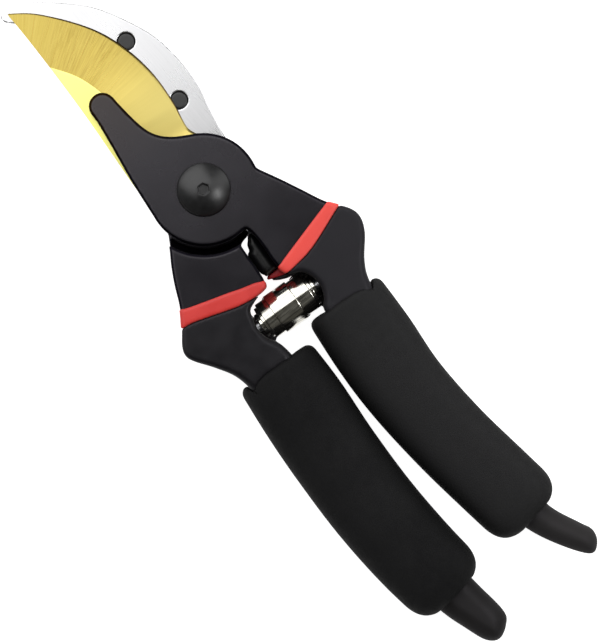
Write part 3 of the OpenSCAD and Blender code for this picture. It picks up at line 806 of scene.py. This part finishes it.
def counter_field(x, y, z):
    """Field of the counter blade's plate with its two rivet holes."""
    outline = section("counter_blade", middle("counter_blade")[2])
    flat = flat_distance(outline, x, y)
    for place in rivet_places:
        # the CAD hole is filled, and a slightly wider one with a rounded rim is cut below
        flat = np.minimum(flat, np.hypot(x - place[0], y - place[1]) - RIVET_R - 1.2)
    plate = slab(soften(flat, 0.5, COUNTER_STEP) - 0.1, z, counter_z, counter_top, 0.17)
    for place in rivet_places:
        r = np.hypot(x - place[0], y - place[1])[:, :, None] + 0 * z
        plate = cut(plate, r - RIVET_R - 0.14, 0.2)
    return plate


low, high = box("counter_blade")
counter_skin = shape("counter_blade_skin", counter_field, low - 1.5, high + 1.5, COUNTER_STEP, HOOK,
                     "blade_steel", ["counter_blade"])
counter_skin.data.set_sharp_from_angle(angle=math.radians(30))


def rivet_field(x, y, z):
    """Field of both rivets: flush in front, with low domed heads at the back."""
    solid = None
    for place in rivet_places:
        r = np.hypot(x - place[0], y - place[1])[:, :, None] + 0 * z
        shank = slab(r - RIVET_R + 0.02, z, back_z, counter_top - 0.12, 0.3)
        ball = np.hypot(r, z - (back_z + 4.6)) - 5.8
        head = np.maximum(ball, np.maximum(r - 3.4, z - back_z - 0.3))
        one = np.minimum(shank, head)
        solid = one if solid is None else np.minimum(solid, one)
    return solid


low, high = box("counter_blade_rivets")
shape("rivets", rivet_field, low - 1, high + 1, 0.25, HOOK, "rivet_steel",
      ["counter_blade_rivets"])

# ---------------------------------------------------------------- pivot
HEAD_R, KEY_HALF = 7.3, 1.35
head_top = box("pivot_bolt")[1][2]


def hexagon(x, y, half):
    """Signed distance from a hexagon with flats at half."""
    angles = np.radians([0, 60, 120])
    return max_of([np.abs(x * math.sin(a) + y * math.cos(a)) for a in angles]) - half


def max_of(fields):
    """The largest of several fields, which is where they all overlap."""
    result = fields[0]
    for field in fields[1:]:
        result = np.maximum(result, field)
    return result


def bolt_field(x, y, z):
    """Field of the domed bolt head with its hexagonal key recess."""
    r = np.hypot(x, y)[:, :, None] + 0 * z
    rise = head_top - front_z - 0.7
    ball_r = (HEAD_R ** 2 + rise ** 2) / (2 * rise)
    dome = np.hypot(r, z - (head_top - ball_r)) - ball_r
    head = both(both(dome, r - HEAD_R, 0.5), front_z + 0.02 - z, 0.2)
    key = np.maximum(hexagon(x, y, KEY_HALF)[:, :, None] + 0 * z, head_top - 1.1 - z)
    return cut(head, key, 0.35)


shape("bolt_head", bolt_field, (-8.5, -8.5, front_z - 1), (8.5, 8.5, head_top + 1), 0.14, BLADE,
      "black_oxide_steel", ["pivot_bolt"])


def bolt_end_field(x, y, z):
    """Field of the threaded end of the bolt, seen inside the nut."""
    r = np.hypot(x, y)[:, :, None] + 0 * z
    thread = 0.18 * np.abs(((z / 1.0) % 1) * 2 - 1)
    end = slab(r - 3.9 + thread, z, 0, 6, 0.1)
    return both(end, (r + (-z)) - 3.5, 0.1)


def nut_field(x, y, z):
    """Field of the thin nut with chamfered corners and bore."""
    r = np.hypot(x, y)[:, :, None] + 0 * z
    prism = slab(hexagon(x, y, 6.5), z, 0, box("pivot_nut")[1][2], 0.15)
    chamfer = np.maximum(r - z * 1.6 - 6.6, r + z * 1.6 - 6.6 - 1.6 * box("pivot_nut")[1][2])
    bore = np.maximum(r - 4.15, (r + z) - 4.9)
    return cut(both(prism, chamfer * 0.6, 0.15), bore, 0.1)


nut_high = box("pivot_nut")[1]
shape("nut", nut_field, (-8.5, -8.5, -1), (8.5, 8.5, nut_high[2] + 1), 0.2, BLADE,
      "black_oxide_steel", ["pivot_nut"])
shape("bolt_end", bolt_end_field, (-5, -5, -0.6), (5, 5, 4), 0.15, BLADE,
      "black_oxide_steel", [])


def ring_field(node, centre, inner):
    """Field of a flat ring as wide and as high as a CAD node."""
    low, high = box(node)
    outer = (high[0] - low[0]) / 2

    def field(x, y, z):
        r = np.hypot(x - centre[0], y - centre[1])
        return cut(slab(r - outer, z, low[2], high[2], 0.12),
                   slab(r - inner, z, low[2] - 9, high[2] + 9, 0.1), 0.1)
    return field


def ring(name, node, inner, body, slot, step):
    low, high = box(node)
    shape(name, ring_field(node, middle(node), inner), low - 1, high + 1, step, body, slot, [node])


ring("washer", "pivot_washer", 4.1, BLADE, "zinc_plated_steel", 0.2)
ring("wave_washer", "latch_wave_washer", 2.1, BLADE, "plain_steel", 0.12)

# ---------------------------------------------------------------- spring
SPRING_R, SPRING_END_R, SPRING_TURNS = 5.85, 2.7, 3.5
STRIP_W, STRIP_T = 7.2, 0.4
STRIP_SHIFT = np.array([(-3.5, -4.9), (-2.7, -4.9), (-2.3, -3.9), (-1.7, -3.9), (-1.3, -3.06),
                        (-0.42, -3.06), (-0.28, 0), (0.28, 0), (0.42, 4.26), (1.3, 4.26),
                        (1.7, 5.2), (2.3, 5.2), (2.7, 6.2), (3.5, 6.2)])
# Radius falls only while the strip crosses over at the back, so every front is a cylinder
STRIP_FALL = np.array([(0, 0), (0.42, 0.01), (0.58, 0.17), (1.3, 0.19), (1.7, 0.42),
                       (2.3, 0.44), (2.7, 0.72), (3.5, 1)])


def spring_place(along, across):
    """Place in the flat view for a distance along the spring's axis and one across it."""
    c, t = math.cos(SPRING_LEAN), math.sin(SPRING_LEAN)
    return SPRING_X + along * c - across * t, SPRING_Y + along * t + across * c


def volute_spring():
    """The strip of the double volute, swept with round edges from one end to the other."""
    per_turn, profile = 100, []
    half_w, half_t = STRIP_W / 2, STRIP_T / 2
    for side, start in ((1, -90), (-1, 90)):
        centre = side * (half_w - half_t)
        angles = [math.radians(start + 45 * k) for k in range(5)]
        rim = [(centre + half_t * math.cos(a), half_t * math.sin(a)) for a in angles]
        # a corner just inside the rim keeps the shading of the flat straight
        inner = centre - side * half_t
        profile += [(inner, rim[0][1]), *rim, (inner, rim[-1][1])]
    sides = len(profile)
    verts, faces = [], []
    count = int(2 * SPRING_TURNS * per_turn)
    top_r = SPRING_R - half_t
    turn = np.arange(count + 1) / per_turn - SPRING_TURNS
    shift = np.interp(turn, STRIP_SHIFT[:, 0], STRIP_SHIFT[:, 1])
    radius = top_r - (top_r - SPRING_END_R) * np.interp(abs(turn), *STRIP_FALL.T)
    window = np.hanning(13)[1:-1] / np.hanning(13)[1:-1].sum()
    shift, radius = [np.convolve(np.pad(v, 5, "edge"), window, "valid") for v in (shift, radius)]
    # faint flats from the winding, which split the reflections into bands along the axis
    angle = 2 * math.pi * turn
    radius = radius + 0.02 * np.cos(11 * angle) + 0.016 * np.cos(23 * angle + 1)
    for n, s, r in zip(turn, shift, radius):
        a = math.radians(360 * n + 90)
        for w, t in profile:
            verts.append((*spring_place(s + w, (r + t) * math.cos(a)),
                          mid_z + (r + t) * math.sin(a)))
    for i in range(count):
        for k in range(sides):
            a, b = sides * i + k, sides * i + (k + 1) % sides
            faces.append([a, b, b + sides, a + sides])
    faces.append(list(range(sides))[::-1])
    faces.append([sides * count + k for k in range(sides)])
    piece = new_piece("spring_strip", verts, faces, None,
                      MATERIALS["spring_chrome"], ["volute_spring"])
    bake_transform(piece)


volute_spring()


def peg_field(from_middle, to_middle):
    """Field of a spring peg between two distances along the spring's axis."""
    def field(x, y, z):
        c, t = math.cos(SPRING_LEAN), math.sin(SPRING_LEAN)
        along = (x - SPRING_X) * c + (y - SPRING_Y) * t
        across = (y - SPRING_Y) * c - (x - SPRING_X) * t
        r = np.hypot(across[:, :, None], z - mid_z)
        reach = np.abs(along - (from_middle + to_middle) / 2) - (to_middle - from_middle) / 2
        return both(r - 1.6, reach[:, :, None] + 0 * z, 0.5)
    return field


for side, body, reach in (("hook", HOOK, (-13.9, -5.1)), ("blade", BLADE, (4.9, 16.9))):
    node = side + "_side_spring_peg"
    low, high = box(node)
    shape(side + "_peg", peg_field(*reach), low - 1, high + 1, 0.2, body,
          "zinc_plated_steel", [node])

# ---------------------------------------------------------------- stop bumper
def bumper_field(x, y, z):
    """Field of the rubber strip between the necks, with its foot in the casting."""
    low, high = box("stop_bumper")
    pad = soften(flat_distance(section("stop_bumper", high[2] - 0.4), x, y), 0.3, 0.2)
    # the rubber swells a little against both handles
    pad = slab(pad - 0.15, z, low[2], high[2], 2.1)
    foot = flat_distance(section("stop_bumper", mid_z), x, y)
    return join(pad, slab(foot, z, mid_z - 2.2, mid_z + 2.2, 0.3), 0.2)


low, high = box("stop_bumper")
shape("bumper", bumper_field, low - 1, high + 1, 0.2, BLADE, "black_rubber", ["stop_bumper"])

# ---------------------------------------------------------------- latch
def lever_field(x, y, z):
    """Field of the latch lever: a plate with low ribs for the thumb."""
    low, high = box("latch_lever")
    flat = flat_distance(section("latch_lever", high[2] - 0.5), x, y)
    plate = slab(soften(flat, 0.25, 0.18), z, high[2] - 2, high[2], 0.25)
    ribs = flat_distance(section("latch_lever", low[2] + 0.3), x, y)
    return join(plate, slab(ribs, z, low[2], high[2] - 1, 0.1), 0.2)


low, high = box("latch_lever")
shape("lever", lever_field, low - 1, high + 1, 0.18, LATCH, "zinc_plated_steel", ["latch_lever"])


def screw_field(x, y, z):
    """Field of the latch's slotted screw, with its shank in the casting."""
    low, high = box("latch_screw")
    centre = (low + high) / 2
    dx, dy = x - centre[0], y - centre[1]
    r = np.hypot(dx, dy)[:, :, None] + 0 * z
    head_top_z = low[2] + 1.3
    ball = np.hypot(r, z - (low[2] + 7.0)) - 7.0
    head = both(np.maximum(ball, z - head_top_z), r - 3.6, 0.2)
    slot_cut = np.maximum(np.abs(dy)[:, :, None] - 0.45, z - low[2] - 0.7)
    shank = slab(r - 1.98, z, head_top_z - 0.2, back_z + 3, 0.1)
    return np.minimum(cut(head, slot_cut, 0.12), shank)


low, high = box("latch_screw")
shape("pivot_screw", screw_field, low - 1, (high[0] + 1, high[1] + 1, back_z + 4), 0.16, BLADE,
      "zinc_plated_steel", ["latch_screw"])


def pin_field(x, y, z):
    """Field of the catch pin."""
    low, high = box("latch_catch_pin")
    centre = (low + high) / 2
    r = np.hypot(x - centre[0], y - centre[1])
    return slab(r - 1.6, z, low[2], high[2], 0.3)


low, high = box("latch_catch_pin")
shape("catch_pin", pin_field, low - 1, high + 1, 0.16, HOOK, "plain_steel", ["latch_catch_pin"])

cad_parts["blade_dowel"].data.materials.clear()
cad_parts["blade_dowel"].data.materials.append(MATERIALS["plain_steel"])

# ---------------------------------------------------------------- floor, light and camera
VIEW_CENTRE = (-3.2, -43.7, 15.0)
VIEW_TURN = math.radians(-40.226)
VIEW_WIDTH, VIEW_DISTANCE = 161.3, 1.2


def studio():
    """Pale floor, soft boxes and the camera at the photograph's angle."""
    bpy.ops.mesh.primitive_plane_add(size=6, location=(0, 0, -0.0004))
    floor = bpy.context.object
    floor.name = "floor"
    s = Shader("pale_floor", Roughness=0.9, Specular_IOR_Level=0.1, Emission_Strength=0.96)
    s.bsdf.inputs["Emission Color"].default_value = (1, 1, 1, 1)
    grain = s.noise(40, 2, 0.5)
    floor.data.materials.append(
        s.set(Base_Color=s.mix(grain, (0.50, 0.50, 0.50), (0.54, 0.54, 0.54))))

    scene = bpy.context.scene
    world = bpy.data.worlds.new("studio")
    world.use_nodes = True
    world.node_tree.nodes["Background"].inputs[0].default_value = (1.0, 0.97, 0.86, 1)
    world.node_tree.nodes["Background"].inputs[1].default_value = 0.05
    scene.world = world

    def light(name, direction, distance, size, radiance):
        """A soft box aimed at the tool from a direction, as bright as radiance all over."""
        lamp = bpy.data.lights.new(name, "AREA")
        lamp.shape = "RECTANGLE"
        lamp.size, lamp.size_y = size
        lamp.energy = radiance * math.pi * size[0] * size[1]
        item = bpy.data.objects.new(name, lamp)
        direction = Vector(direction).normalized()
        item.location = Vector(VIEW_CENTRE) * MM + direction * distance
        item.rotation_euler = (-direction).to_track_quat("-Z", "Y").to_euler()
        scene.collection.objects.link(item)

    # the big box stands over the blade tips, from just off the camera to low down
    tilt = math.radians(43.8)
    light("key", (0, math.sin(tilt), math.cos(tilt)), 0.45, (0.6, 0.6), 2.1)
    light("spot", (0.39, -0.455, 0.8), 0.5, (0.18, 0.18), 8.5)
    light("bevel", (0.205, 0.085, 0.46), 0.5, (0.22, 0.2), 0.9)
    light("side", (0.9, -0.05, 0.45), 0.4, (0.25, 0.4), 1.4)

    lens = bpy.data.cameras.new("camera")
    lens.sensor_fit, lens.sensor_width = "HORIZONTAL", 36
    lens.lens = 36 * (VIEW_DISTANCE - VIEW_CENTRE[2] * MM) / (VIEW_WIDTH * MM)
    lens.clip_start, lens.clip_end = 0.01, 20
    camera = bpy.data.objects.new("camera", lens)
    camera.location = (VIEW_CENTRE[0] * MM, VIEW_CENTRE[1] * MM, VIEW_DISTANCE)
    camera.rotation_euler = (0, 0, VIEW_TURN)
    scene.collection.objects.link(camera)
    scene.camera = camera
    scene.view_settings.view_transform = "Standard"


studio()
